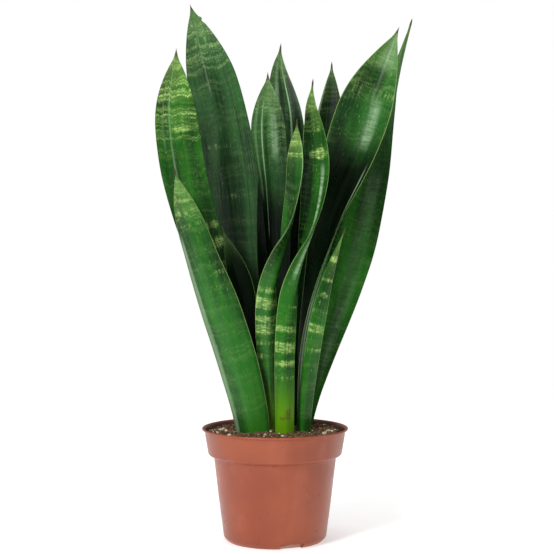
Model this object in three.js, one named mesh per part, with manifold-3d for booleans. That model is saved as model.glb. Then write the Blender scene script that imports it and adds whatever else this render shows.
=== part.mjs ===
// A snake plant in a 12 cm nursery pot: the pot, its potting mix, loose perlite grains and twelve leaves.
// Millimetres, +Z up. The origin is the middle of the flat disc under the pot, the plant's front
// faces -Y and +X is on its right.
import * as THREE from "three";
import { mergeVertices } from "three/addons/utils/BufferGeometryUtils.js";
import Module from "manifold-3d";

const wasm = await Module();
wasm.setup();

// Clearance between pieces that touch.
const GAP = 0.3;

// The pot, an injection moulding with a thin wall, a deep collar band and a small bead at its lip.
const LIP_RADIUS = 60;
const POT_HEIGHT = 92.7;
const BEAD_HEIGHT = 1.4;
const NECK_RADIUS = 58;
const COLLAR_RADIUS = 55;
const COLLAR_BOTTOM = 71.7;
const SHOULDER_RADIUS = 50.3;
const SHOULDER_BOTTOM = 68.7;
const FOOT_RADIUS = 42.4;
const FOOT_ROUND = 3;
const WALL = 1.4;
const FLOOR_RISE = 5;
const FOOT_RING_WIDTH = 2.2;
const DISC_RADIUS = 17;
const DISC_BEVEL = 3;
const POT_SEGMENTS = 60;

// Drain slots through the foot ring, and drain holes in the raised part of the pot's floor.
const SLOT_COUNT = 3;
const SLOT_WIDTH = 19.4;
const SLOT_HEIGHT = 4.6;
const SLOT_ANGLE = -70.3;
const HOLE_COUNT = 6;
const HOLE_RADIUS = 4;
const HOLE_CIRCLE = 29;

// The potting mix, heaped a little where the leaves come up.
const SOIL_EDGE = 88.8;
const SOIL_HEAP = 1.2;
const SOIL_RIPPLE = 0.45;
const SOIL_RINGS = 7;
const SOIL_SEGMENTS = 40;

// The leaves. Each cross-section is a thin lens bent into a channel.
const LEAF_SIDES = 12;
const LEAF_RINGS = 24;
const RING_CROWDING = 1.45;
const BASE_THICKNESS = 5.6;
const BLADE_THICKNESS = 2.6;
const TIP_THICKNESS = 1.0;
const THICKENED_LENGTH = 150;
const CHANNEL_POWER = 1.6;
const SPINE_LENGTH = 5;
const SPINE_WIDTH = 1.3;

// Stations run from the buried base to the tip: x, y, z, blade width, and the direction in degrees
// about +Z that the leaf's inner face looks. The blade narrows to its spine over the point length.
const LEAVES = [
  {
    name: "leaf_left_outer",
    point: 68,
    channel: 0.12,
    stations: [
      [-22, 13, 66.2, 18, -78],
      [-25, 14, 112.2, 22, -76],
      [-34, 14, 162.2, 27, -74],
      [-50, 11, 217.2, 32, -72],
      [-67, 6, 264.2, 36, -70],
      [-77, 4, 307.2, 38.5, -70],
      [-82, 1, 352.2, 37, -72],
      [-80.4, -1, 403.2, 36.5, -76],
    ],
  },
  {
    name: "leaf_left_front",
    point: 62,
    channel: 0.2,
    stations: [
      [-17, -11, 66.2, 25, 84],
      [-20, -11, 100.2, 29, 84],
      [-32, -12, 148.2, 33, 82],
      [-48, -16, 198.2, 33, 80],
      [-64, -20, 243.2, 26, 78],
      [-75, -24, 279.2, 25, 76],
      [-81, -26, 305.2, 22, 76],
    ],
  },
  {
    name: "leaf_left_tallest",
    point: 70,
    channel: 0.1,
    stations: [
      [-21, 24, 66.2, 20, -86],
      [-22, 24, 117.2, 25, -85],
      [-26.3, 29, 182.2, 35.5, -84],
      [-32.8, 36, 246.2, 44.5, -82],
      [-40, 42, 308.2, 48, -80],
      [-50, 50, 363.2, 45, -78],
      [-61.9, 56, 409.2, 38, -77],
      [-73.2, 62, 448.4, 36.5, -76],
    ],
  },
  {
    name: "leaf_left_short",
    point: 60,
    channel: 0.16,
    stations: [
      [-17, 4, 66.2, 13, -80],
      [-21, 6, 114.2, 15, -76],
      [-24, 8, 164.2, 20, -72],
      [-29, 7, 207.2, 22, -68],
      [-44, 8, 258.2, 20, -64],
    ],
  },
  {
    name: "leaf_middle_left",
    point: 52,
    channel: 0.24,
    stations: [
      [1, 12, 66.2, 13, -82],
      [0, 14, 142.2, 16, -72],
      [-1, 13, 217.2, 20, -58],
      [-3.5, 13, 287.2, 26.5, -62],
      [-6, 12, 332.2, 28.5, -84],
      [-6, 12, 385.2, 28, -88],
    ],
  },
  {
    name: "leaf_middle_back",
    point: 82,
    channel: 0.2,
    stations: [
      [1, 24, 66.2, 14, -85],
      [2, 28, 146.2, 22, -84],
      [2, 33, 230.2, 37, -82],
      [4, 41, 298.2, 41, -80],
      [6, 47, 349.2, 34, -78],
      [3, 53, 392.2, 30, -78],
      [5, 56, 414.2, 28, -78],
    ],
  },
  {
    name: "leaf_middle_front",
    point: 42,
    channel: 0.18,
    stations: [
      [-2, 2, 66.2, 11, 92],
      [-4, 3, 120.2, 13, 98],
      [-6, -3, 167.2, 18, 108],
      [-4, -10, 202.2, 20, 124],
      [5, -14, 236.2, 20, 160],
      [13, -19, 264.2, 17, 206],
      [17, -23, 296.2, 15, 236],
      [17.6, -28, 344.2, 16, 250],
    ],
  },
  {
    name: "leaf_front_twisted",
    point: 80,
    channel: 0.2,
    stations: [
      [8, -17, 66.2, 14, 92],
      [8, -16, 114.2, 16, 94],
      [9, -19, 162.2, 17, 102],
      [14, -20, 202.2, 19, 130],
      [22, -22, 233.2, 20, 176],
      [30, -23, 261.2, 22, 218],
      [34, -26, 300.2, 24, 246],
      [31.2, -29, 336.2, 22.5, 258],
      [28.9, -31, 355.2, 21.5, 261],
      [30.2, -34, 375.2, 20, 264],
    ],
  },
  {
    name: "leaf_right_back",
    point: 80,
    channel: 0.14,
    stations: [
      [10, 32, 66.2, 14, -96],
      [15, 36, 142.2, 17, -96],
      [28, 43, 224.2, 22, -97],
      [39, 51, 292.2, 26, -98],
      [47, 60, 348.2, 27, -99],
      [49, 70, 400.2, 26, -100],
    ],
  },
  {
    name: "leaf_right_broad",
    point: 82,
    channel: 0.2,
    stations: [
      [22, 15, 66.2, 17, 182],
      [23, 16, 120.2, 20, 182],
      [28, 13, 167.2, 27, 186],
      [39, 10, 224.2, 35, 200],
      [50, 5, 270.2, 40, 220],
      [65, 2, 320.2, 45, 246],
      [79, -1, 364.2, 45, 254],
      [101, -4, 420.2, 38, 258],
    ],
  },
  {
    name: "leaf_right_outer",
    point: 100,
    channel: 0.12,
    stations: [
      [24, 27, 71.2, 13, 238],
      [28, 29, 101.2, 15, 240],
      [39, 32, 146.2, 24, 244],
      [53, 34, 195.2, 36, 248],
      [66, 37, 242.2, 43, 248],
      [80, 41, 298.2, 42, 236],
      [97, 48, 359.2, 34, 208],
      [107, 52, 399.2, 32, 192],
      [117, 56, 435.2, 34, 188],
    ],
  },
  {
    name: "leaf_right_short",
    point: 84,
    channel: 0.14,
    stations: [
      [22, -2, 66.2, 11, 86],
      [24, -3, 104.2, 12, 84],
      [29, -6, 147.2, 13, 82],
      [35, -10, 184.2, 13, 80],
      [43, -12, 217.2, 12, 78],
      [57, -14, 257.2, 11, 78],
    ],
  },
];

// Perlite grains lying in the top of the mix: x, y and size.
const GRAINS = [
  [-45, 2, 4.6],
  [-40, -4, 3.6],
  [-43, 9, 3.8],
  [-47, -16, 3.4],
  [-37, -21, 3.0],
  [-8, -28, 3.2],
  [6, -38, 4.2],
  [40, -20, 4.0],
  [46, -12, 3.6],
  [44, -2, 4.4],
  [50, 4, 3.4],
  [-28, 46, 4.0],
  [8, 52, 3.4],
  [42, 30, 3.8],
];

// A closed geometry as a manifold-3d solid.
function solidOf(geometry) {
  const bare = geometry.clone();
  bare.deleteAttribute("normal");
  bare.deleteAttribute("uv");
  const merged = mergeVertices(bare, 1e-3);
  return new wasm.Manifold(
    new wasm.Mesh({
      numProp: 3,
      vertProperties: merged.attributes.position.array,
      triVerts: new Uint32Array(merged.index.array),
    }),
  );
}

// A manifold-3d solid as a geometry.
function geometryOf(solid) {
  const mesh = solid.getMesh();
  const geometry = new THREE.BufferGeometry();
  geometry.setAttribute("position", new THREE.BufferAttribute(mesh.vertProperties, 3));
  geometry.setIndex(new THREE.BufferAttribute(mesh.triVerts, 1));
  geometry.computeVertexNormals();
  return geometry;
}

// A path of radius and height turned about the Z axis.
function turned(path, divisions, segments) {
  return new THREE.LatheGeometry(path.getPoints(divisions), segments).rotateX(Math.PI / 2);
}

// The pot's section: up the outside, over the bead, down the inside and back along the floor.
function potSection() {
  const path = new THREE.Path();
  const taper = FOOT_RADIUS - FOOT_ROUND;
  path.moveTo(0, 0);
  path.lineTo(DISC_RADIUS, 0);
  path.lineTo(DISC_RADIUS + DISC_BEVEL, FLOOR_RISE);
  path.lineTo(taper - FOOT_RING_WIDTH, FLOOR_RISE);
  path.lineTo(taper - FOOT_RING_WIDTH, 0);
  path.lineTo(taper, 0);
  path.absarc(taper, FOOT_ROUND, FOOT_ROUND, -Math.PI / 2, 0, false);
  path.lineTo(SHOULDER_RADIUS, SHOULDER_BOTTOM);
  path.lineTo(COLLAR_RADIUS - 0.8, COLLAR_BOTTOM - 0.8);
  path.lineTo(COLLAR_RADIUS, COLLAR_BOTTOM);
  path.lineTo(NECK_RADIUS, POT_HEIGHT - BEAD_HEIGHT - 0.6);
  path.lineTo(LIP_RADIUS, POT_HEIGHT - BEAD_HEIGHT);
  path.lineTo(LIP_RADIUS, POT_HEIGHT - 0.4);
  path.lineTo(LIP_RADIUS - 0.6, POT_HEIGHT);
  path.lineTo(NECK_RADIUS - WALL, POT_HEIGHT - 0.4);
  path.lineTo(COLLAR_RADIUS - WALL, COLLAR_BOTTOM + WALL);
  path.lineTo(SHOULDER_RADIUS - WALL, SHOULDER_BOTTOM + WALL);
  path.lineTo(FOOT_RADIUS - WALL, FLOOR_RISE + WALL);
  path.lineTo(DISC_RADIUS + DISC_BEVEL - WALL, FLOOR_RISE + WALL);
  path.lineTo(DISC_RADIUS - WALL, WALL);
  path.lineTo(0, WALL);
  return path;
}

function potGeometry() {
  let pot = solidOf(turned(potSection(), 2, POT_SEGMENTS));
  for (let i = 0; i < SLOT_COUNT; i++) {
    const slot = new THREE.BoxGeometry(FOOT_ROUND * 5, SLOT_WIDTH, SLOT_HEIGHT * 2);
    slot.translate(FOOT_RADIUS, 0, 0);
    slot.rotateZ(THREE.MathUtils.degToRad(SLOT_ANGLE + (360 / SLOT_COUNT) * i));
    pot = pot.subtract(solidOf(slot));
  }
  for (let i = 0; i < HOLE_COUNT; i++) {
    const hole = new THREE.CylinderGeometry(HOLE_RADIUS, HOLE_RADIUS, FLOOR_RISE * 2, 14);
    hole.rotateX(Math.PI / 2);
    hole.translate(HOLE_CIRCLE, 0, FLOOR_RISE + WALL / 2);
    hole.rotateZ((Math.PI * 2 * i) / HOLE_COUNT);
    pot = pot.subtract(solidOf(hole));
  }
  return geometryOf(pot);
}

// Height of the mix at a place: a low heap with soft ripples.
function soilHeight(x, y) {
  const heap = SOIL_HEAP * Math.max(0, 1 - (x * x + y * y) / 2500);
  const ripple = Math.sin(x * 0.21 + 1.3) * Math.cos(y * 0.19) + Math.sin((x - y) * 0.13);
  return SOIL_EDGE + heap + SOIL_RIPPLE * ripple;
}

// The pot's inside, filled to the soil line.
function soilGeometry(buried) {
  const path = new THREE.Path();
  const top = SOIL_EDGE;
  const slope = (NECK_RADIUS - COLLAR_RADIUS) / (POT_HEIGHT - BEAD_HEIGHT - COLLAR_BOTTOM);
  const edge = COLLAR_RADIUS - WALL - GAP + slope * (top - COLLAR_BOTTOM - WALL);
  path.moveTo(0, WALL + GAP);
  path.lineTo(DISC_RADIUS - WALL - GAP * 2, WALL + GAP);
  path.lineTo(DISC_RADIUS + DISC_BEVEL - WALL - GAP * 2, FLOOR_RISE + WALL + GAP);
  path.lineTo(FOOT_RADIUS - WALL - GAP, FLOOR_RISE + WALL + GAP);
  path.lineTo(SHOULDER_RADIUS - WALL - GAP * 1.5, SHOULDER_BOTTOM + WALL + GAP);
  path.lineTo(COLLAR_RADIUS - WALL - GAP * 1.5, COLLAR_BOTTOM + WALL + GAP);
  for (let i = 0; i <= SOIL_RINGS; i++) path.lineTo(edge * (1 - i / SOIL_RINGS), top);
  const block = turned(path, 1, SOIL_SEGMENTS);
  const at = block.attributes.position;
  for (let i = 0; i < at.count; i++) {
    if (at.getZ(i) > top - 0.01) at.setZ(i, soilHeight(at.getX(i), at.getY(i)));
  }
  let soil = solidOf(block);
  for (const piece of buried) soil = soil.subtract(solidOf(piece));
  return geometryOf(soil);
}

// Share of the full blade width at a distance from the tip.
function pointShare(distance, point) {
  const along = THREE.MathUtils.clamp((distance - SPINE_LENGTH) / (point - SPINE_LENGTH), 0, 1);
  return 1 - (1 - along) ** 2;
}

// Thickness of the blade's middle, from the fleshy base to the thin top.
function leafThickness(fromBase, fromTip) {
  const fleshy = THREE.MathUtils.smoothstep(THICKENED_LENGTH - fromBase, 0, THICKENED_LENGTH);
  const body = THREE.MathUtils.lerp(BLADE_THICKNESS, BASE_THICKNESS, fleshy);
  return THREE.MathUtils.lerp(TIP_THICKNESS, body, THREE.MathUtils.smoothstep(fromTip, 0, 60));
}

// A leaf: a cone whose rings are moved along the leaf's line and bent to its cross-section.
// grow swells it on every side, to cut the room that it needs.
function leafGeometry(leaf, grow = 0) {
  const line = new THREE.CatmullRomCurve3(
    leaf.stations.map(([x, y, z], i) => new THREE.Vector3(x, y, i ? z : z - grow)),
  );
  const blade = new THREE.CatmullRomCurve3(
    leaf.stations.map(([, , , width, face]) => new THREE.Vector3(width, face, 0)),
    false,
    "catmullrom",
  );
  const length = line.getLength();
  const cone = new THREE.CylinderGeometry(0, 1, 1, LEAF_SIDES, LEAF_RINGS);
  const at = cone.attributes.position;
  for (let i = 0; i < at.count; i++) {
    const coneRadius = 0.5 - at.getY(i);
    const fromTip = length * coneRadius ** RING_CROWDING;
    const t = line.getUtoTmapping(1 - fromTip / length);
    const { x: fullWidth, y: face } = blade.getPoint(t);
    const out = coneRadius > 0.001 ? Math.hypot(at.getX(i), at.getZ(i)) / coneRadius : 0;
    const angle = Math.atan2(at.getX(i), at.getZ(i));
    const width = Math.max(SPINE_WIDTH, fullWidth * pointShare(fromTip, leaf.point)) + grow * 2;
    const thickness = leafThickness(length - fromTip, fromTip) + grow * 2;
    const across = Math.cos(angle) * out;
    const depth =
      leaf.channel * width * Math.abs(across) ** CHANNEL_POWER +
      (Math.sin(angle) * out * thickness) / 2;
    const along = line.getTangent(t);
    const turn = THREE.MathUtils.degToRad(face);
    const inward = new THREE.Vector3(Math.cos(turn), Math.sin(turn), 0);
    inward.addScaledVector(along, -inward.dot(along)).normalize();
    const side = new THREE.Vector3().crossVectors(inward, along);
    const place = line.getPoint(t);
    place.addScaledVector(side, (across * width) / 2).addScaledVector(inward, depth);
    at.setXYZ(i, place.x, place.y, place.z);
  }
  return geometryOf(solidOf(cone));
}

// A perlite grain: a twelve-sided crumb, squashed and turned by its own number.
function grainGeometry([x, y, size], number, grow = 0) {
  const half = size / 2 + grow;
  const grain = new THREE.DodecahedronGeometry(half);
  grain.scale(1 + 0.22 * Math.sin(number * 2.1), 1 - 0.18 * Math.sin(number * 1.3), 0.78);
  grain.rotateX(number * 0.7).rotateZ(number * 1.9);
  return grain.translate(x, y, soilHeight(x, y) + size * 0.18);
}

function add(group, name, geometry, color, roughness) {
  const material = new THREE.MeshStandardMaterial({ color, roughness, metalness: 0 });
  const mesh = new THREE.Mesh(geometry, material);
  mesh.name = name;
  group.add(mesh);
}

const plant = new THREE.Group();
add(plant, "pot", potGeometry(), "#b5654c", 0.42);
const sockets = LEAVES.map((leaf) => leafGeometry(leaf, GAP));
const pockets = GRAINS.map((grain, i) => grainGeometry(grain, i, GAP));
add(plant, "potting_mix", soilGeometry([...sockets, ...pockets]), "#3d2c24", 0.95);
for (const leaf of LEAVES) add(plant, leaf.name, leafGeometry(leaf), "#2f6b34", 0.45);
GRAINS.forEach((grain, i) => {
  const name = "perlite_" + String(i + 1).padStart(2, "0");
  add(plant, name, grainGeometry(grain, i), "#e6dfcf", 0.9);
});

export default plant;
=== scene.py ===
import math
import random

import bmesh
import bpy
import numpy as np
from mathutils import Euler, Matrix, Vector, noise
from mathutils.bvhtree import BVHTree


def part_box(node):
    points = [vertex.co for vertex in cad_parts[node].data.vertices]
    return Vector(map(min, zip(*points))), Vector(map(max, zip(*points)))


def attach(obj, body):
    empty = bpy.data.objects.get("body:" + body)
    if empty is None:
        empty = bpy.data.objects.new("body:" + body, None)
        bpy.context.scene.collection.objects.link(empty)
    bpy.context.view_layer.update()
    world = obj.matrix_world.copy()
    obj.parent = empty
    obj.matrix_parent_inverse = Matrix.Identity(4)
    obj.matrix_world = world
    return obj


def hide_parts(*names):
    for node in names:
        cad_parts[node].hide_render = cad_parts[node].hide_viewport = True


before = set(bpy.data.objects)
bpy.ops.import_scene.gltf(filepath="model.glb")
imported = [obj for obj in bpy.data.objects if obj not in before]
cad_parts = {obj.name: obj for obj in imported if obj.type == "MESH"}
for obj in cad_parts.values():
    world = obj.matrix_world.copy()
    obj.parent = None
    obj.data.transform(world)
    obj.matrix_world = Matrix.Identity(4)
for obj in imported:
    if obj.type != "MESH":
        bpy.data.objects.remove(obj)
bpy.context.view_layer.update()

# A snake plant in a nursery pot. The frame's pot and leaves give every size and place here.

POT_LOW, POT_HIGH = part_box("pot")
LIP_RADIUS = (POT_HIGH.x - POT_LOW.x) / 2
POT_HEIGHT = POT_HIGH.z - POT_LOW.z
MM = LIP_RADIUS / 60
ROOT = "root"


# ---------------------------------------------------------------- shared steps


def piece(name, shape, slot, *nodes):
    """A finished bmesh as an object that rides on the plant and stands for its CAD nodes."""
    mesh = bpy.data.meshes.new(name)
    shape.to_mesh(mesh)
    shape.free()
    thing = bpy.data.objects.new(name, mesh)
    bpy.context.scene.collection.objects.link(thing)
    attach(thing, ROOT)
    if nodes:
        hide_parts(*nodes)
    return thing


def smooth(thing, sharp_angle=180):
    """Smooth shading, broken at edges sharper than the angle in degrees."""
    thing.data.shade_smooth()
    thing.data.set_sharp_from_angle(angle=math.radians(sharp_angle))


def tree_of(*nodes):
    """The surfaces of CAD nodes, for finding heights and distances."""
    points = []
    faces = []
    for name in nodes:
        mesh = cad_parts[name].data
        first = len(points)
        points += [v.co.copy() for v in mesh.vertices]
        faces += [[first + i for i in p.vertices] for p in mesh.polygons]
    return BVHTree.FromPolygons(points, faces)


class Finish:
    """A material and short ways to add nodes to it."""

    def __init__(self, name):
        self.material = bpy.data.materials.new(name)
        self.material.use_nodes = True
        self.tree = self.material.node_tree
        self.shader = self.tree.nodes["Principled BSDF"]

    def node(self, kind, settings=None, **inputs):
        made = self.tree.nodes.new("ShaderNode" + kind)
        for key, value in (settings or {}).items():
            setattr(made, key, value)
        for key, value in inputs.items():
            self.feed(made.inputs[key.replace("_", " ")], value)
        return made

    def feed(self, socket, value):
        if isinstance(value, bpy.types.NodeSocket):
            self.tree.links.new(value, socket)
        else:
            socket.default_value = value

    def math(self, operation, *values):
        made = self.tree.nodes.new("ShaderNodeMath")
        made.operation = operation
        for socket, value in zip(made.inputs, values):
            self.feed(socket, value)
        return made.outputs[0]

    def times(self, first, *others):
        """The product of two or more values."""
        for other in others:
            first = self.math("MULTIPLY", first, other)
        return first

    def place(self):
        """Where a point is on its own object."""
        return self.node("TexCoord").outputs["Object"]

    def from_axis(self, apart):
        """Distance from the upright axis of a place that is split into x, y and z."""
        squares = [self.math("POWER", apart.outputs[i], 2) for i in (0, 1)]
        return self.math("SQRT", self.math("ADD", *squares))

    def attribute(self, name):
        return self.node("Attribute", {"attribute_name": name}).outputs["Fac"]

    def span(self, value, low, high, to_low=0.0, to_high=1.0):
        """Maps a range to another with soft ends."""
        made = self.node("MapRange", {"interpolation_type": "SMOOTHSTEP"})
        for key, number in zip(range(5), (value, low, high, to_low, to_high)):
            self.feed(made.inputs[key], number)
        return made.outputs[0]

    def mix(self, share, first, second):
        """The first colour where share is 0 and the second where it is 1."""
        made = self.node("Mix", {"data_type": "RGBA"})
        self.feed(made.inputs[0], share)
        self.feed(made.inputs[6], first)
        self.feed(made.inputs[7], second)
        return made.outputs[2]

    def noise(self, place, scale, detail=2.0, rough=0.5):
        made = self.node("TexNoise", Vector=place, Scale=scale, Detail=detail, Roughness=rough)
        return made.outputs[0]

    def stretched(self, across, along, seed):
        return self.node("CombineXYZ", X=across, Y=along, Z=seed).outputs[0]

    def bump(self, height, distance, strength=1.0, under=None):
        made = self.node("Bump", Height=height, Distance=distance, Strength=strength)
        if under is not None:
            self.feed(made.inputs["Normal"], under)
        return made.outputs[0]

    def shade(self, **inputs):
        for key, value in inputs.items():
            self.feed(self.shader.inputs[key.replace("_", " ")], value)
        return self.material


def rgb(red, green, blue):
    """A display colour from 0 to 255 as linear light."""
    return tuple(_linear(c / 255) for c in (red, green, blue)) + (1.0,)


def _linear(value):
    return value / 12.92 if value <= 0.04045 else ((value + 0.055) / 1.055) ** 2.4


# ---------------------------------------------------------------- the leaves

LIME = rgb(70, 160, 0)
# Colour of the painted sheen strips on the leaves.
PAINTED_SHEEN = rgb(158, 190, 150)
SHADE = rgb(4, 12, 6)
PALE_MARGIN = rgb(140, 176, 96)
DARK_MARGIN = rgb(30, 58, 24)

# How each leaf is marked. Distances are in millimetres from its tip. Places across the blade run
# from -1 at one margin to 1 at the other.
# bands: pale cross bands, as distance, half height, strength and the place across where they are
#     strongest, with 0 for a band that is even all the way across.
# tip: strength of the dense bands at the top, and how far down they reach.
# tone: 0 is fresh green, 1 is grey green.
# yolk: how far up from the soil the yellow-green foot reaches.
# fold, crease: how sharp the crease along the blade is, and its place across.
# painted_shade: distances between which painted shade darkens the green, and how much.
# streaks: strips of painted sheen down the blade, or of painted shade where strength is below 0, as
#     place across, half width, start, end and strength.
# lime: the same for yellow-green strips, which grow in strength from start to end.
# margin: colour of the thin edge line.
# nick: distance of a small tear, and the margin it is in.
# scar: height of a healed scrape over the leaf's foot, and its place across.
# gloss: specular level, where it isn't the usual one.
LEAF_LOOKS = {
    "leaf_left_outer": dict(
        bands=[(36, 3, 0.5, 0), (52, 3, 0.45, 0), (66, 3.5, 0.95, -0.2), (96, 4, 0.4, 0.3),
               (112, 3, 0.35, -0.3), (150, 5, 0.7, -0.8), (166, 6, 0.95, -0.9), (184, 5, 0.7, -0.8)],
        tip=(1.15, 95), tone=0.15, yolk=0, fold=0.25, painted_shade=(150, 330, 0.35),
        streaks=[(0.3, 0.07, 4, 115, 0.4), (0.62, 0.08, 20, 90, 0.22)],
        crease=0.1, margin=DARK_MARGIN),
    "leaf_left_front": dict(
        bands=[(24, 3, 0.5, 0), (37, 4, 0.6, 0), (48, 3, 0.5, 0), (92, 4, 0.55, 0.6),
               (104, 3, 0.4, 0.2), (218, 3, 0.35, 0.1)],
        tip=(0.7, 60), tone=0.35, yolk=0, fold=0.1, painted_shade=(60, 300, 0.05),
        streaks=[(-0.84, 0.16, 50, 330, 0.5), (0.92, 0.1, 120, 330, -0.4)],
        crease=0, margin=PALE_MARGIN, lime=[(0.35, 0.8, 150, 345, 0.8)]),
    "leaf_left_tallest": dict(
        bands=[(20, 3, 0.5, 0), (34, 4, 0.5, 0), (52, 4, 0.5, 0.2), (128, 3.5, 0.6, 0.3),
               (171, 3, 0.5, -0.2), (210, 3, 0.3, 0)],
        tip=(0.75, 85), tone=0.8, yolk=0, fold=0.15, painted_shade=(120, 250, 0.62),
        streaks=[(0.15, 0.06, 6, 90, 0.22), (-0.6, 0.05, 60, 250, -0.35)],
        crease=0.1, nick=(15, -1), margin=DARK_MARGIN),
    "leaf_left_short": dict(
        bands=[(60, 3, 0.3, 0)],
        tip=(0.35, 40), tone=0.6, yolk=0, fold=0.3, painted_shade=(-20, 36, 0.97),
        streaks=[],
        crease=0, margin=PALE_MARGIN, gloss=0.08),
    "leaf_middle_left": dict(
        bands=[(30, 3, 0.35, 0), (44, 3, 0.35, 0), (66, 3, 0.25, 0)],
        tip=(0.5, 80), tone=0.75, yolk=0, fold=0.8, painted_shade=(75, 125, 0.97),
        streaks=[(0.36, 0.06, 18, 140, 0.95), (-0.34, 0.26, 26, 78, 0.5), (0.14, 0.16, 30, 130, -0.65),
                 (0.75, 0.12, 16, 110, 0.3), (-0.75, 0.1, 40, 110, -0.4)],
        crease=0.36, margin=DARK_MARGIN),
    "leaf_middle_back": dict(
        bands=[(18, 3, 0.5, 0), (30, 3, 0.45, 0)],
        tip=(0.6, 70), tone=0.7, yolk=0, fold=0.7, painted_shade=(50, 130, 0.98),
        streaks=[(-0.44, 0.06, 4, 100, 0.95), (0.3, 0.24, 8, 66, 0.55), (-0.05, 0.16, 14, 100, -0.7),
                 (-0.74, 0.2, 16, 110, -0.75)],
        crease=-0.44, margin=DARK_MARGIN),
    "leaf_middle_front": dict(
        bands=[(19, 2.5, 0.9, 0), (29, 2.5, 0.95, 0), (82, 2.5, 0.45, 0), (142, 3, 0.7, 0),
               (153, 5, 1.25, 0), (166, 3, 1.0, 0), (175, 4.2, 1.2, 0), (186, 3, 0.65, 0),
               (197, 3, 0.6, 0)],
        tip=(0.5, 38), tone=0.25, yolk=44, fold=0.35, painted_shade=(40, 60, 0.15),
        streaks=[(-0.93, 0.07, 8, 110, 0.75), (0.5, 0.5, 85, 140, -0.2)],
        crease=0, margin=PALE_MARGIN),
    "leaf_front_twisted": dict(
        bands=[(13, 3, 0.6, 0), (22, 2.5, 0.5, 0), (41, 3, 0.6, -0.2), (60, 5, 1.2, -0.22),
               (186, 3, 0.7, 0.4), (204, 3.5, 0.85, 0), (219, 4.5, 1.25, 0), (232, 3.5, 0.85, 0),
               (244, 3, 0.55, 0)],
        tip=(0.6, 52), tone=0.2, yolk=52, fold=0.2, painted_shade=(60, 100, 0.25),
        streaks=[(-0.46, 0.22, 64, 168, 0.9), (0.78, 0.85, 16, 180, -1.0), (-0.84, 0.14, 76, 180, -0.5)],
        crease=-0.2, scar=(36, 0.05), margin=PALE_MARGIN, gloss=0.1),
    "leaf_right_back": dict(
        bands=[(14, 2, 0.4, 0), (35, 1.4, 0.75, 0), (44, 1.4, 0.75, 0), (49, 1.2, 0.5, 0)],
        tip=(0.7, 75), tone=0.55, yolk=0, fold=0, painted_shade=(-10, 40, 0.85),
        streaks=[(0.9, 0.1, 6, 90, 0.5), (0.1, 0.6, 12, 60, -0.35)],
        crease=0, margin=PALE_MARGIN, gloss=0.06),
    "leaf_right_broad": dict(
        bands=[(26, 9, 0.6, -0.2), (56, 4.5, 0.55, 0), (62, 2, 0.3, 0), (78, 2, 0.25, 0),
               (96, 2, 0.2, 0.2)],
        tip=(0.6, 80), tone=0.45, yolk=0, fold=0.5, painted_shade=(85, 125, 0.93),
        streaks=[(-0.34, 0.3, 56, 108, 0.7), (-0.82, 0.05, 112, 340, 0.85), (0.2, 0.8, 28, 64, -0.85),
                 (-0.2, 0.9, 2, 42, 0.5)],
        crease=-0.1, margin=PALE_MARGIN),
    "leaf_right_outer": dict(
        bands=[(168, 3, 0.3, 0.2), (232, 3, 0.4, -0.3), (262, 2.5, 0.4, 0.2), (322, 3, 0.4, -0.2)],
        tip=(0.3, 60), tone=0.25, yolk=0, fold=0.2, painted_shade=(200, 420, 0.0),
        streaks=[(0.95, 0.75, 150, 420, -1.0), (-0.3, 0.5, 130, 400, 0.2)],
        crease=0, margin=DARK_MARGIN),
    "leaf_right_short": dict(
        bands=[(12, 3, 0.45, 0), (27, 3.6, 1.1, 0), (45, 3, 0.6, 0), (58, 3.2, 1.0, 0.2),
               (72, 3, 0.55, 0), (86, 4.4, 1.2, 0), (104, 3, 0.6, 0)],
        tip=(0.5, 24), tone=0.2, yolk=0, fold=0.2, painted_shade=(60, 200, 0.2),
        streaks=[(-0.9, 0.1, 30, 120, 0.3)],
        crease=0, margin=PALE_MARGIN),
}

RING_SIDES = 12
BLADE_ROWS = 170
BLADE_SIDES = 40
BLADE_MARKS = ("across", "inner", "pale", "from_base")
CAD_BEND = 1.6
SPINE_LENGTH = 6 * MM
EDGE_THICKNESS = 0.7 * MM
FOLD_DEPTH = 5 * MM
FOLD_SOFTNESS = 0.004
WAVE_DEPTH = 1.7 * MM
RAGGED_EDGE = 0.35 * MM
BURIED = 24 * MM
USUAL_GLOSS = 0.2


def ring_rows(node):
    """A CAD leaf's rings of points from the tip down, each starting at the same margin."""
    solid = bmesh.new()
    solid.from_mesh(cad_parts[node].data)
    bmesh.ops.remove_doubles(solid, verts=solid.verts, dist=0.01 * MM)
    tip = max(solid.verts, key=lambda v: v.co.z)
    seen = {tip}
    front = [tip]
    rows = []
    while True:
        front = [e.other_vert(v) for v in front for e in v.link_edges]
        front = list(dict.fromkeys(v for v in front if v not in seen))
        if len(front) != RING_SIDES:
            break
        seen.update(front)
        rows.append(_in_order(front))
    start = tip.co.copy()
    solid.free()
    for above, below in zip(rows, rows[1:]):
        turns = [below[i:] + below[:i] for i in range(RING_SIDES)]
        turns += [row[::-1] for row in turns]
        below[:] = min(turns, key=lambda row: sum((a - b).length for a, b in zip(above, row)))
    return start, rows


def _in_order(front):
    """The ring's points one after another round it."""
    members = set(front)
    chain = [front[0]]
    while len(chain) < len(front):
        near = [e.other_vert(chain[-1]) for e in chain[-1].link_edges]
        chain.append(next(v for v in near if v in members and v not in chain))
    return [v.co.copy() for v in chain]


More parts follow.
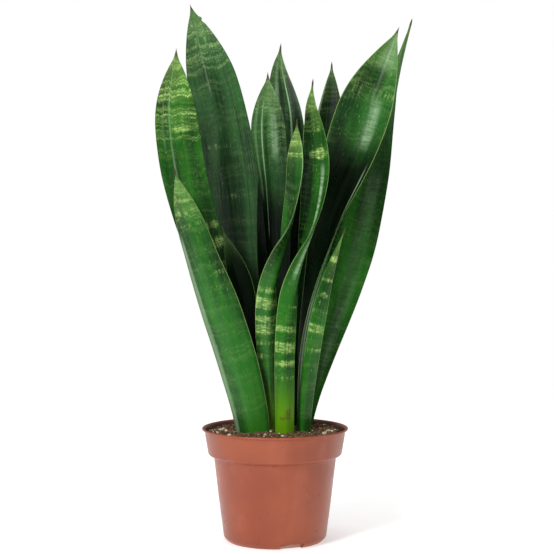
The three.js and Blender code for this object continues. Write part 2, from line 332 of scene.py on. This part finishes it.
def leaf_rails(node):
    """Per ring: distance from the tip, middle, directions across and inward, width, thickness, bend."""
    tip, rows = ring_rows(node)
    half = RING_SIDES // 2
    widest = max(rows, key=lambda row: max((row[i] - row[i + half]).length for i in range(half)))
    first = max(range(half), key=lambda i: (widest[i] - widest[i + half]).length)
    rails = []
    travelled = 0.0
    above = tip
    for number, row in enumerate(rows):
        one, other = row[first], row[first + half]
        near, far = row[(first + half // 2) % RING_SIDES], row[(first - half // 2) % RING_SIDES]
        middle = (near + far) / 2
        travelled += (middle - above).length
        up = (above - middle).normalized()
        above = middle
        inward = near - far
        if ((one + other) / 2 - middle).dot(inward) < 0:
            inward = -inward
        inward.normalize()
        across = inward.cross(up).normalized()
        bend = ((one + other) / 2 - middle).dot(inward)
        rails.append([travelled, *middle, *across, *inward,
                      (one - other).length, (near - far).length, bend])
    crown = [0.0, *tip, *rails[0][4:10], 0.0, 0.0, 0.0]
    return np.array([crown] + rails)


def between(rails, position):
    """The rails at a place between two rings, on a smooth curve through them."""
    last = len(rails) - 1
    i = min(int(position), last - 1)
    t = position - i
    a, b, c, d = (rails[min(max(i + k, 0), last)] for k in (-1, 0, 1, 2))
    curve = 2 * b + (c - a) * t + (2 * a - 5 * b + 4 * c - d) * t * t
    return 0.5 * (curve + (3 * b - a - 3 * c + d) * t * t * t)


def pale_bands(look, from_tip, across):
    """How strongly the leaf's own pale bands show at a place on it."""
    total = 0.0
    for distance, height, strength, centre in look["bands"]:
        off = (from_tip / MM - distance) / height
        side = math.exp(-((across - centre) / 0.75) ** 2) if centre else 1.0
        total += strength * side * math.exp(-off * off)
    return min(total, 1.2)


def leaf_blade(name, look, number):
    """A fine closed blade on the CAD leaf's rails, with its margins, crease and slow waves."""
    rails = leaf_rails(name)
    length = rails[-1][0]
    blade = bmesh.new()
    paper = blade.loops.layers.uv.new("blade")
    for key in BLADE_MARKS:
        blade.verts.layers.float.new(key)
    marks = {key: blade.verts.layers.float[key] for key in BLADE_MARKS}
    grid = bmesh.ops.create_grid(blade, x_segments=BLADE_SIDES, y_segments=BLADE_ROWS, size=1)
    spots = {}
    for v in grid["verts"]:
        down = length * ((1 - v.co.y) / 2) ** 1.25
        rail = between(rails, np.interp(down, rails[:, 0], np.arange(len(rails))))
        angle = math.pi * (v.co.x + 1)
        across = math.cos(angle)
        inner = math.sin(angle)
        width, thick, bend = max(rail[10], 0), max(rail[11], 0), rail[12]
        middle, side, inward = Vector(rail[1:4]), Vector(rail[4:7]), Vector(rail[7:10])
        body = min(1.0, down / SPINE_LENGTH)
        power = CAD_BEND - 0.5 * look["fold"]
        lift = bend * abs(across) ** power
        lift += 0.5 * inner * (thick * (1 - abs(across) ** 2.4) ** 0.6 + EDGE_THICKNESS * body)
        calm = min(1.0, down / (60 * MM)) * min(1.0, (length - down) / (90 * MM))
        wave = noise.noise(Vector((number * 7.3, down * 9, 0.4 * across)))
        lift += WAVE_DEPTH * calm * across * across * wave
        aside = across - look["crease"]
        lift += FOLD_DEPTH * look["fold"] * calm * (math.sqrt(aside * aside + FOLD_SOFTNESS) - 0.5)
        ragged = noise.noise(Vector((number * 3.1, down * 26, across))) * RAGGED_EDGE * calm
        reach = across * (width / 2 + ragged)
        if look.get("nick"):
            reach += _nick(look["nick"], down, across)
        v.co = middle + side * reach + inward * lift
        v[marks["across"]] = across
        v[marks["inner"]] = inner
        v[marks["pale"]] = pale_bands(look, down, across)
        v[marks["from_base"]] = length - down
        spots[v] = (across * width / 2, down)
    for face in blade.faces:
        for loop in face.loops:
            loop[paper].uv = spots[loop.vert]
    bmesh.ops.remove_doubles(blade, verts=blade.verts, dist=0.004 * MM)
    bmesh.ops.holes_fill(blade, edges=[e for e in blade.edges if e.is_boundary], sides=0)
    bmesh.ops.recalc_face_normals(blade, faces=blade.faces)
    return blade


def _nick(place, down, across):
    """A small tear in one margin: a barb above a shallow bite."""
    distance, margin = place
    if across * margin < 0.9:
        return 0.0
    off = down / MM - distance
    barb = 2.2 * math.exp(-((off / 1.0) ** 2))
    bite = 1.3 * math.exp(-(((off - 2.6) / 1.5) ** 2))
    return margin * (barb - bite) * MM


def leaf_finish(name, look, number):
    """Waxy green skin: jagged pale bands, fine lengthwise grain, pale margins, a dry brown spine, with
    painted shade lower down and painted sheen and shade strips.
    """
    f = Finish(name + "_skin")
    paper = f.node("UVMap", {"uv_map": "blade"}).outputs[0]
    apart = f.node("SeparateXYZ", Vector=paper)
    u, v = apart.outputs[0], apart.outputs[1]
    across = f.math("ABSOLUTE", f.attribute("across"))
    seed = number * 3.7

    def grain(across_scale, along_scale, detail=2.0, along=v, offset=0.0):
        """Noise stretched along the blade, at a scale across it and a scale along it."""
        sideways = f.times(u, across_scale)
        lengthways = f.times(along, along_scale)
        return f.noise(f.stretched(sideways, lengthways, seed + offset), 1.0, detail)

    def beside(place, half):
        """1 on a line down the blade, fading to 0 at half a strip's width from it."""
        aside = f.math("ABSOLUTE", f.math("SUBTRACT", f.attribute("across"), place))
        return f.span(aside, 0.25 * half, half, 1, 0)

    teeth = f.math("SUBTRACT", grain(620, 22, 3, offset=1), 0.5)
    waves = f.math("SUBTRACT", grain(110, 8, 1, offset=2), 0.5)
    jag = f.math("ADD", f.times(teeth, 6 * MM), f.times(waves, 10 * MM))
    along = f.math("ADD", v, jag)
    broad = f.span(grain(10, 120, 2, along=along, offset=3), 0.36, 0.64, 0.1, 1)
    lines = f.span(grain(26, 640, 2, along=along, offset=13), 0.42, 0.60, 0.12, 1)
    comb = f.span(grain(900, 40, 2, offset=15), 0.28, 0.60, 0.35, 1)
    strength, reach = look["tip"]
    crown = f.span(v, 0.35 * reach * MM, reach * MM, strength, 0.14)
    speckle = f.span(grain(260, 420, 3, offset=17), 0.34, 0.62, 0.45, 1.1)
    dense = f.times(broad, lines, comb, crown, speckle)
    torn = f.math("ADD", f.attribute("pale"), f.times(teeth, 1.1))
    patchy = f.span(grain(60, 420, 2, offset=4), 0.3, 0.6, 0.5, 1)
    mottle = f.span(grain(240, 800, 3, offset=16), 0.36, 0.60, 0.25, 1)
    named = f.times(f.span(torn, 0.34, 0.80), patchy, comb, mottle)
    fewer = f.span(v, 0, 280 * MM, 0.42, 0.10)
    flecks = f.times(f.span(grain(700, 210, 3, offset=5), 0.60, 0.78), fewer)
    pale = f.math("MINIMUM", f.math("MAXIMUM", f.math("MAXIMUM", dense, named), flecks), 1.0)

    tone = look["tone"]
    deep = f.mix(tone, rgb(8, 52, 12), rgb(14, 44, 20))
    lively = f.mix(tone, rgb(36, 118, 20), rgb(46, 90, 46))
    light = f.mix(tone, rgb(174, 212, 112), rgb(142, 176, 118))
    body = f.mix(f.span(grain(60, 10, 3, offset=6), 0.32, 0.68), deep, lively)
    hairlines = f.span(grain(900, 14, 2, offset=7), 0.4, 0.75)
    body = f.mix(f.times(hairlines, 0.35), body, lively)
    skin = f.mix(pale, body, light)
    skin = f.mix(f.span(v, 0, 50 * MM, 0.25, 0), skin, light)
    from_base = f.attribute("from_base")
    if look["yolk"]:
        foot = f.span(from_base, BURIED, BURIED + look["yolk"] * MM, 1, 0)
        foot = f.times(foot, f.span(grain(180, 30, 2, offset=8), 0.2, 0.6, 0.5, 1))
        skin = f.mix(foot, skin, rgb(112, 172, 10))
    # Painted shade: the green darkens towards near-black between two distances from the tip, fully on
    # the inner face and less on the outer.
    start, end, strength = look["painted_shade"]
    wavering = f.math("ADD", v, f.times(waves, 30 * MM))
    inner_face = f.span(f.attribute("inner"), -0.25, 0.15, 0.35, 1)
    painted_shading = f.times(f.span(wavering, start * MM, end * MM, 0, strength), inner_face)
    skin = f.mix(painted_shading, skin, rgb(3, 9, 4))
    fibres = f.span(grain(420, 26, 3, offset=14), 0.30, 0.62, 0.55, 1)
    # Painted sheen strips, pale, and painted shade strips, dark, down the blade.
    for place, half, top, end, amount in look["streaks"]:
        begins = f.span(v, top * MM, (top + 16) * MM)
        ends = f.span(v, (end - 14) * MM, end * MM, abs(amount), 0)
        strip = f.times(beside(place, half), begins, ends, fibres)
        if half > 0.2:
            strip = f.times(strip, f.span(grain(90, 520, 3, offset=18), 0.34, 0.60, 0.45, 1))
        skin = f.mix(strip, skin, PAINTED_SHEEN if amount > 0 else SHADE)
    for place, half, top, end, amount in look.get("lime", ()):
        grows = f.span(v, top * MM, end * MM, 0, amount)
        skin = f.mix(f.times(beside(place, half), grows), skin, LIME)
    edge = f.span(across, 0.965, 0.985)
    skin = f.mix(f.times(edge, 0.8), skin, look["margin"])
    in_places = f.span(grain(1, 60, 2, offset=9), 0.52, 0.68, 0, 0.7)
    rust = f.times(f.span(across, 0.985, 0.997), in_places)
    skin = f.mix(rust, skin, rgb(88, 52, 34))
    if look.get("scar"):
        skin = scarred(f, skin, from_base, look["scar"])
    dry = f.span(v, SPINE_LENGTH * 0.7, SPINE_LENGTH * 1.6, 1, 0)
    skin = f.mix(dry, skin, rgb(72, 64, 46))

    rough = f.span(grain(200, 40, 3, offset=10), 0.3, 0.7, 0.24, 0.36)
    rough = f.math("ADD", rough, f.times(pale, 0.06))
    ripples = f.times(grain(45, 110, 2, offset=12), 0.6)
    relief = f.math("ADD", grain(1300, 16, 2, offset=11), ripples)
    bump = f.bump(relief, 0.35 * MM, 0.55)
    gloss = look.get("gloss", USUAL_GLOSS)
    return f.shade(Base_Color=skin, Roughness=rough, Normal=bump, Specular_IOR_Level=gloss)


def scarred(f, skin, from_base, place):
    """A healed scrape: a thin brown line across the blade under a ragged brown blotch."""
    height, centre = place
    ragged = f.math("SUBTRACT", f.noise(f.place(), 420, 3), 0.5)
    up = f.math("SUBTRACT", from_base, height * MM)
    up = f.math("ADD", up, f.times(ragged, 7 * MM))
    aside = f.math("SUBTRACT", f.attribute("across"), centre)
    aside = f.math("ADD", aside, f.times(ragged, 1.1))
    thin = f.span(f.math("ABSOLUTE", up), 0.5 * MM, 1.1 * MM, 0.75, 0)
    line = f.times(thin, f.span(f.math("ABSOLUTE", aside), 0.5, 0.62, 1, 0))
    above = f.math("ABSOLUTE", f.math("SUBTRACT", up, 4.2 * MM))
    right = f.math("ABSOLUTE", f.math("SUBTRACT", aside, 0.26))
    blotch = f.times(f.span(above, 1.6 * MM, 5 * MM, 0.75, 0), f.span(right, 0.06, 0.42, 1, 0))
    skin = f.mix(line, skin, rgb(104, 78, 34))
    return f.mix(blotch, skin, rgb(96, 82, 36))


def make_leaves():
    for number, (name, look) in enumerate(LEAF_LOOKS.items()):
        blade = piece(name + "_blade", leaf_blade(name, look, number), "leaf", name)
        smooth(blade)
        blade.data.materials.append(leaf_finish(name, look, number))


# ---------------------------------------------------------------- the pot

TURN_STEPS = 120
SLOT_STEPS = 9
SLOT_TOP = 4.6
SLOT_MIDDLE = -70.3
SLOT_WIDTH = 360 / TURN_STEPS * SLOT_STEPS
SLOT_START = SLOT_MIDDLE - SLOT_WIDTH / 2
FLOOR = 5.0
WALL = 1.4
PLATE_INNER = 20.0
PLATE_OUTER = 37.2
HOLE_CIRCLE = 29.0
HOLE_RADIUS = 4.0
HOLE_SIDES = 28
HOLES = 6
DISC_RADIUS = 17.0
ON_LEVEL = 0.02 * MM
WALL_SLOPE = 0.165


def spun(points):
    """A line of radius and height, in the pot's units, turned all the way round."""
    shape = bmesh.new()
    chain = [shape.verts.new((r * MM, 0, z * MM)) for r, z in points]
    line = [shape.edges.new(pair) for pair in zip(chain, chain[1:])]
    turn = Matrix.Rotation(math.radians(SLOT_START), 3, "Z")
    bmesh.ops.rotate(shape, cent=(0, 0, 0), matrix=turn, verts=chain)
    bmesh.ops.spin(shape, geom=chain + line, cent=(0, 0, 0), axis=(0, 0, 1), angle=math.tau,
                   steps=TURN_STEPS, use_merge=True)
    bmesh.ops.remove_doubles(shape, verts=shape.verts, dist=0.02 * MM)
    return shape


def rounded(points, corners):
    """Points with the named corners turned into short arcs. corners: index to radius."""
    out = []
    for i, here in enumerate(points):
        if i not in corners:
            out.append(here)
            continue
        before, after, here = Vector(points[i - 1]), Vector(points[i + 1]), Vector(here)
        a = here + (before - here).normalized() * corners[i]
        b = here + (after - here).normalized() * corners[i]
        for t in (0, 0.25, 0.5, 0.75, 1):
            p = a * (1 - t) ** 2 + here * 2 * t * (1 - t) + b * t * t
            out.append((p.x, p.y))
    return out


def pot_shape():
    """The moulded pot: outer and inner skins in one, cut by its drain slots and holes."""
    top = POT_HEIGHT / MM
    collar, shoulder = top - 20.9, top - 24
    outline = [
        (PLATE_OUTER, FLOOR), (PLATE_OUTER, SLOT_TOP), (PLATE_OUTER, 0), (39.4, 0), (42.4, 3.4),
        (42.45, SLOT_TOP), (44.6, 21), (46.6, 37), (50.3, shoulder), (54.1, collar - 1),
        (55.0, collar), (56.4, top - 12), (58.0, top - 2.2), (59.2, top - 1.6), (60.0, top - 1.3),
        (60.0, top - 0.35), (59.6, top), (58.5, top),
        (57.3, top - 1.4), (55.3, top - 9.5), (53.6, collar + 1.3), (48.9, shoulder + 1.4), (45.2, 37),
        (41.0, FLOOR + WALL), (PLATE_OUTER, FLOOR + WALL),
    ]
    soft = {2: 0.4, 3: 0.9, 4: 1.5, 8: 0.8, 9: 0.35, 10: 0.6, 12: 0.3, 14: 0.3, 15: 0.25, 16: 0.3,
            17: 0.35, 18: 0.6, 20: 1.6, 21: 1.6, 23: 2.5}
    shape = spun(rounded(outline, soft))
    disc = spun(rounded([(0, 0), (DISC_RADIUS, 0), (PLATE_INNER, FLOOR)], {1: 0.8}))
    bend = (DISC_RADIUS - WALL / 2, WALL)
    inner = spun(rounded([(0, WALL), bend, (PLATE_INNER, FLOOR + WALL)], {1: 1.0}))
    for other in (disc, inner):
        mesh = bpy.data.meshes.new("pot_disc")
        other.to_mesh(mesh)
        other.free()
        shape.from_mesh(mesh)
        bpy.data.meshes.remove(mesh)
    cut_slots(shape)
    lay_plate(shape)
    bmesh.ops.recalc_face_normals(shape, faces=shape.faces)
    return shape


def cut_slots(shape):
    """Opens three drain slots in the foot ring and closes the walls round them."""
    width = math.radians(SLOT_WIDTH)

    def in_slot(face):
        middle = face.calc_center_median()
        low = all(v.co.z < (SLOT_TOP + 0.05) * MM for v in face.verts)
        ring = middle.xy.length > (PLATE_OUTER - 0.1) * MM
        angle = (math.atan2(middle.y, middle.x) - math.radians(SLOT_START)) % (math.tau / 3)
        return low and ring and angle < width

    doomed = [f for f in shape.faces if in_slot(f)]
    bmesh.ops.delete(shape, geom=doomed, context="FACES")
    level = SLOT_TOP * MM

    def lintel(edge):
        flat = all(abs(v.co.z - level) < ON_LEVEL for v in edge.verts)
        return edge.is_boundary and flat

    bmesh.ops.bridge_loops(shape, edges=[e for e in shape.edges if lintel(e)])
    sides = [e for e in shape.edges if e.is_boundary]
    sides = [e for e in sides if max(v.co.z for v in e.verts) < (SLOT_TOP + 0.1) * MM]
    sides = [e for e in sides if min(v.co.xy.length for v in e.verts) > (PLATE_OUTER - 0.1) * MM]
    bmesh.ops.holes_fill(shape, edges=sides, sides=0)


def lay_plate(shape):
    """The raised floor plate between the middle disc and the wall, with its round drain holes."""
    rims = []
    for height in (FLOOR, FLOOR + WALL):
        level = height * MM
        border = [e for e in shape.edges if e.is_boundary]
        border = [e for e in border if all(abs(v.co.z - level) < ON_LEVEL for v in e.verts)]
        holes = []
        for i in range(HOLES):
            turn = math.tau * i / HOLES
            place = Vector((math.cos(turn), math.sin(turn), 0)) * HOLE_CIRCLE * MM
            spot = Matrix.Translation(place + Vector((0, 0, level)))
            ring = bmesh.ops.create_circle(shape, segments=HOLE_SIDES, radius=HOLE_RADIUS * MM,
                                           matrix=spot)
            edges = list({e for v in ring["verts"] for e in v.link_edges})
            holes.append(edges)
            border += edges
        rims.append(holes)
        bmesh.ops.triangle_fill(shape, edges=border, use_beauty=True, use_dissolve=False)
    for lower, upper in zip(*rims):
        bmesh.ops.bridge_loops(shape, edges=lower + upper)


def pot_finish():
    """Satin terracotta-coloured plastic with faint moulding streaks, scuffs, and soil dirt with painted
    shade on the inner wall above the mix.
    """
    f = Finish("terracotta_plastic")
    place = f.place()
    apart = f.node("SeparateXYZ", Vector=place)
    height = apart.outputs[2]
    clay = f.mix(f.span(f.noise(place, 22, 4), 0.35, 0.68), rgb(140, 60, 29), rgb(154, 72, 38))
    streaks = f.noise(f.node("Mapping", Vector=place, Scale=(60, 60, 4)).outputs[0], 1.0, 3)
    clay = f.mix(f.times(f.span(streaks, 0.5, 0.72), 0.30), clay, rgb(168, 86, 58))
    bloom = f.times(f.span(f.noise(place, 55, 5, 0.65), 0.55, 0.75), 0.22)
    clay = f.mix(bloom, clay, rgb(176, 104, 80))
    low = f.times(f.span(height, 0.0, 0.012, 1, 0), f.span(f.noise(place, 140, 4), 0.4, 0.7))
    clay = f.mix(f.times(low, 0.5), clay, rgb(120, 66, 48))
    specks = f.times(f.span(f.noise(place, 900, 2), 0.68, 0.74), 0.35)
    clay = f.mix(specks, clay, rgb(112, 58, 42))
    # Dark brown on the inner wall above the mix: partly soil dirt, partly painted shade.
    within = f.math("SUBTRACT", f.from_axis(apart), f.times(height, WALL_SLOPE))
    inside = f.span(within, 42.3 * MM, 42.8 * MM, 1, 0)
    inside = f.times(inside, f.span(height, POT_HEIGHT - 19 * MM, POT_HEIGHT - 17.5 * MM))
    dirt_and_shade = f.times(inside, f.span(f.noise(place, 260, 5, 0.7), 0.30, 0.62, 0.55, 1.0))
    clay = f.mix(dirt_and_shade, clay, rgb(58, 38, 28))
    rough = f.span(f.noise(place, 90, 4, 0.6), 0.3, 0.7, 0.27, 0.38)
    rough = f.math("ADD", rough, f.times(bloom, 0.4))
    grain = f.bump(f.noise(place, 1500, 2), 0.05 * MM, 0.5)
    tall = f.node("Mapping", Vector=place, Scale=(18, 18, 5)).outputs[0]
    waves = f.bump(f.noise(tall, 1.0, 2), 0.9 * MM, 0.35, grain)
    return f.shade(Base_Color=clay, Roughness=rough, Normal=waves)


def make_pot():
    pot = piece("nursery_pot", pot_shape(), "pot_plastic", "pot")
    smooth(pot, 50)
    pot.data.materials.append(pot_finish())


# ---------------------------------------------------------------- the potting mix

SOIL_CELLS = 190
FIBRE_LENGTH = 3
SOIL_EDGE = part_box("potting_mix")[1].x
SOIL_TREE = tree_of("potting_mix")
LEAF_TREE = tree_of(*LEAF_LOOKS)


def soil_level(x, y):
    """Height of the mix at a place: the CAD surface's own height, or its rim's beyond the edge."""
    limit = 0.93 * SOIL_EDGE
    reach = math.hypot(x, y)
    if reach > limit:
        x, y = x * limit / reach, y * limit / reach
    hit = SOIL_TREE.ray_cast(Vector((x, y, 1)), Vector((0, 0, -1)))[0]
    usual = POT_HEIGHT - 3.5 * MM
    return hit.z if hit and hit.z > usual - 4 * MM else usual


def soil_surface(x, y):
    """The level with the lumps and pits of loose peat."""
    place = Vector((x, y, 0)) / MM
    lumps = noise.fractal(place * 0.16, 0.8, 2.1, 4) * 0.9
    crumbs = abs(noise.noise(place * 0.75 + Vector((9, 4, 2)))) * 0.9
    return soil_level(x, y) + (lumps + crumbs - 0.4) * MM


def soil_shape():
    """The mix: its uneven top, and sides that follow the pot's inner wall down to the floor."""
    edge = SOIL_EDGE - 0.2 * MM
    shape = bmesh.new()
    bmesh.ops.create_grid(shape, x_segments=SOIL_CELLS, y_segments=SOIL_CELLS, size=edge)
    outside = [v for v in shape.verts if v.co.xy.length > edge - 0.15 * MM]
    bmesh.ops.delete(shape, geom=outside, context="VERTS")
    for v in shape.verts:
        if v.is_boundary:
            v.co.xy = v.co.xy.normalized() * edge
        v.co.z = soil_surface(v.co.x, v.co.y)
    top = POT_HEIGHT / MM
    rings = ((53.3, top - 19.2), (48.4, top - 22.3), (40.6, FLOOR + WALL + 0.3))
    for radius, height in rings:
        rim = [e for e in shape.edges if e.is_boundary]
        grown = bmesh.ops.extrude_edge_only(shape, edges=rim)["geom"]
        for v in grown:
            if isinstance(v, bmesh.types.BMVert):
                v.co.xy = v.co.xy.normalized() * radius * MM
                v.co.z = height * MM
    bmesh.ops.holes_fill(shape, edges=[e for e in shape.edges if e.is_boundary], sides=0)
    bmesh.ops.recalc_face_normals(shape, faces=shape.faces)
    return shape


def mix_finish():
    """Dark moist peat, browner fibres and paler dry crumbs."""
    f = Finish("peat")
    place = f.place()
    peat = f.mix(f.span(f.noise(place, 260, 5, 0.7), 0.3, 0.7), rgb(46, 32, 22), rgb(116, 84, 56))
    peat = f.mix(f.span(f.noise(place, 900, 3), 0.56, 0.70), peat, rgb(134, 98, 66))
    peat = f.mix(f.span(f.noise(place, 520, 2), 0.60, 0.66), peat, rgb(22, 14, 10))
    tint = f.attribute("tint")
    peat = f.mix(f.times(tint, 0.8), peat, rgb(176, 138, 98))
    relief = f.noise(place, 700, 6, 0.75)
    return f.shade(Base_Color=peat, Roughness=0.92, Normal=f.bump(relief, 0.0011, 0.9))


def scatter(shape, chance, count, sizes, sink, stretch, tints):
    """Adds small rough lumps on the mix, clear of the leaves. The longest lie flat, as fibres."""
    tint = shape.verts.layers.float.get("tint") or shape.verts.layers.float.new("tint")
    reach = SOIL_EDGE - 2.2 * MM
    made = 0
    while made < count:
        turn = chance.uniform(0, math.tau)
        radius = reach * math.sqrt(chance.random())
        x, y = radius * math.cos(turn), radius * math.sin(turn)
        size = chance.uniform(*sizes) * MM
        long = chance.uniform(*stretch)
        spin = Euler([chance.uniform(0, math.tau) for _ in range(3)]).to_matrix().to_4x4()
        if long > FIBRE_LENGTH:
            lean = math.pi / 2 + chance.uniform(-0.3, 0.3)
            spin = Euler((0, lean, chance.uniform(0, math.tau))).to_matrix().to_4x4()
        spot = Vector((x, y, soil_surface(x, y) + size * (0.5 - sink)))
        shade = chance.uniform(*tints)
        if LEAF_TREE.find_nearest(spot)[3] < 0.7 * size + 0.8 * MM:
            continue
        scale = Matrix.Diagonal((size / 2, size / 2, size / 2 * long, 1))
        lump = bmesh.ops.create_icosphere(shape, subdivisions=1, radius=1,
                                          matrix=Matrix.Translation(spot) @ spin @ scale)
        for v in lump["verts"]:
            v.co += (v.co - spot) * chance.uniform(-0.28, 0.22)
            v[tint] = shade
        made += 1


def make_mix():
    mix = piece("peat_mix", soil_shape(), "potting_mix", "potting_mix")
    smooth(mix)
    peat = mix_finish()
    mix.data.materials.append(peat)
    chance = random.Random(12)
    shape = bmesh.new()
    scatter(shape, chance, 1500, (0.7, 1.9), 0.15, (0.7, 1.6), (0.0, 0.5))
    scatter(shape, chance, 330, (1.8, 3.6), 0.25, (0.6, 1.3), (0.0, 0.35))
    scatter(shape, chance, 110, (0.45, 0.8), 0.0, (4.0, 11.0), (0.3, 1.0))
    crumbs = piece("peat_crumbs", shape, "potting_mix")
    crumbs.data.materials.append(peat)


# ---------------------------------------------------------------- the perlite


def perlite_finish():
    """Dull cream grains with fine pores and brown dust."""
    f = Finish("perlite_grain")
    place = f.place()
    cream = f.mix(f.span(f.noise(place, 420, 4), 0.3, 0.7), rgb(186, 176, 140), rgb(226, 218, 190))
    dust = f.times(f.span(f.noise(place, 650, 4, 0.7), 0.52, 0.68), 0.7)
    cream = f.mix(dust, cream, rgb(128, 100, 70))
    return f.shade(Base_Color=cream, Roughness=0.88, Normal=f.bump(f.noise(place, 1400, 4), 0.0005, 0.8))


def grain_shape(node, number):
    """A CAD grain, rounded off and pitted."""
    shape = bmesh.new()
    shape.from_mesh(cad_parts[node].data)
    bmesh.ops.remove_doubles(shape, verts=shape.verts, dist=0.01 * MM)
    bmesh.ops.dissolve_limit(shape, angle_limit=0.05, verts=shape.verts, edges=shape.edges)
    bmesh.ops.triangulate(shape, faces=shape.faces)
    bmesh.ops.subdivide_edges(shape, edges=shape.edges, cuts=3, use_grid_fill=True, smooth=0.35)
    centre = sum((v.co for v in shape.verts), Vector()) / len(shape.verts)
    for v in shape.verts:
        out = (v.co - centre).normalized()
        v.co += out * noise.noise(v.co / MM * 0.9 + Vector((number, 0, 0))) * 0.45 * MM
    bmesh.ops.recalc_face_normals(shape, faces=shape.faces)
    return shape


def make_perlite():
    cream = perlite_finish()
    grains = sorted(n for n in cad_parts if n.startswith("perlite"))
    for number, node in enumerate(grains):
        grain = piece(node + "_grain", grain_shape(node, number), "perlite", node)
        smooth(grain, 35)
        grain.data.materials.append(cream)
    shape = bmesh.new()
    scatter(shape, random.Random(5), 170, (0.7, 1.7), 0.1, (0.7, 1.3), (0, 0))
    dust = piece("perlite_dust", shape, "perlite")
    dust.data.materials.append(cream)


# ---------------------------------------------------------------- the studio

FOCAL_SHARE = 2.6
CAMERA_AWAY = 1.18
CAMERA_HEIGHT = POT_HEIGHT + 0.1705
CAMERA_ASIDE = 0.0016
FLOOR_RADIUS = 1.0
FLOOR_GLOW = 0.42
UNDER_RADIUS = 0.041
UNDER_GLOW = 0.75
UNDER_EDGE = 0.004
FLOOR_DROP = 0.0004
FILL = 0.30
LOOK_DOWN = 2.27
SENSOR = 36
AIM = Vector((0, 0, 0.24))


def make_floor():
    """A white floor that glows, more strongly under the pot."""
    shape = bmesh.new()
    bmesh.ops.create_circle(shape, cap_ends=True, segments=96, radius=FLOOR_RADIUS)
    mesh = bpy.data.meshes.new("floor")
    shape.to_mesh(mesh)
    shape.free()
    floor = bpy.data.objects.new("floor", mesh)
    floor.location.z = -FLOOR_DROP
    bpy.context.scene.collection.objects.link(floor)
    f = Finish("floor_white")
    f.shade(Base_Color=(0.93, 0.93, 0.93, 1), Roughness=0.9)
    apart = f.node("SeparateXYZ", Vector=f.place())
    glow = f.span(f.from_axis(apart), UNDER_RADIUS - UNDER_EDGE, UNDER_RADIUS, UNDER_GLOW, FLOOR_GLOW)
    f.shade(Emission_Color=(1, 1, 1, 1), Emission_Strength=glow)
    floor.data.materials.append(f.material)


def soft_light(name, place, size, power):
    """A white lamp that points at the middle of the plant. size: its width and height."""
    lamp = bpy.data.lights.new(name, "AREA")
    lamp.shape = "RECTANGLE"
    lamp.size, lamp.size_y = size
    lamp.energy = power
    light = bpy.data.objects.new(name, lamp)
    light.location = place
    light.rotation_euler = (AIM - Vector(place)).to_track_quat("-Z", "Y").to_euler()
    light.visible_camera = False
    bpy.context.scene.collection.objects.link(light)


def make_studio():
    scene = bpy.context.scene
    world = bpy.data.worlds.new("white_studio")
    scene.world = world
    world.use_nodes = True
    sky = world.node_tree
    seen = sky.nodes.new("ShaderNodeLightPath")
    strength = sky.nodes.new("ShaderNodeMapRange")
    strength.inputs["To Min"].default_value = FILL
    strength.inputs["To Max"].default_value = 1.0
    sky.links.new(seen.outputs["Is Camera Ray"], strength.inputs["Value"])
    sky.nodes["Background"].inputs["Color"].default_value = (1, 1, 1, 1)
    sky.links.new(strength.outputs["Result"], sky.nodes["Background"].inputs["Strength"])
    soft_light("key", (-0.95, -1.45, 1.2), (0.4, 0.9), 25)
    soft_light("strip", (1.0, -1.35, 0.9), (0.14, 0.9), 3.0)
    soft_light("side", (1.5, -0.1, 0.7), (0.3, 1.0), 1.0)
    soft_light("top", (-0.1, 0.1, 1.9), (1.2, 1.2), 13)
    make_floor()
    lens = bpy.data.cameras.new("camera")
    lens.sensor_width = SENSOR
    lens.lens = FOCAL_SHARE * SENSOR
    lens.clip_end = 30
    camera = bpy.data.objects.new("camera", lens)
    camera.location = (CAMERA_ASIDE, -CAMERA_AWAY, CAMERA_HEIGHT)
    camera.rotation_euler = (math.radians(90 - LOOK_DOWN), 0, 0)
    scene.collection.objects.link(camera)
    scene.camera = camera
    scene.view_settings.view_transform = "Standard"


make_leaves()
make_pot()
make_mix()
make_perlite()
make_studio()
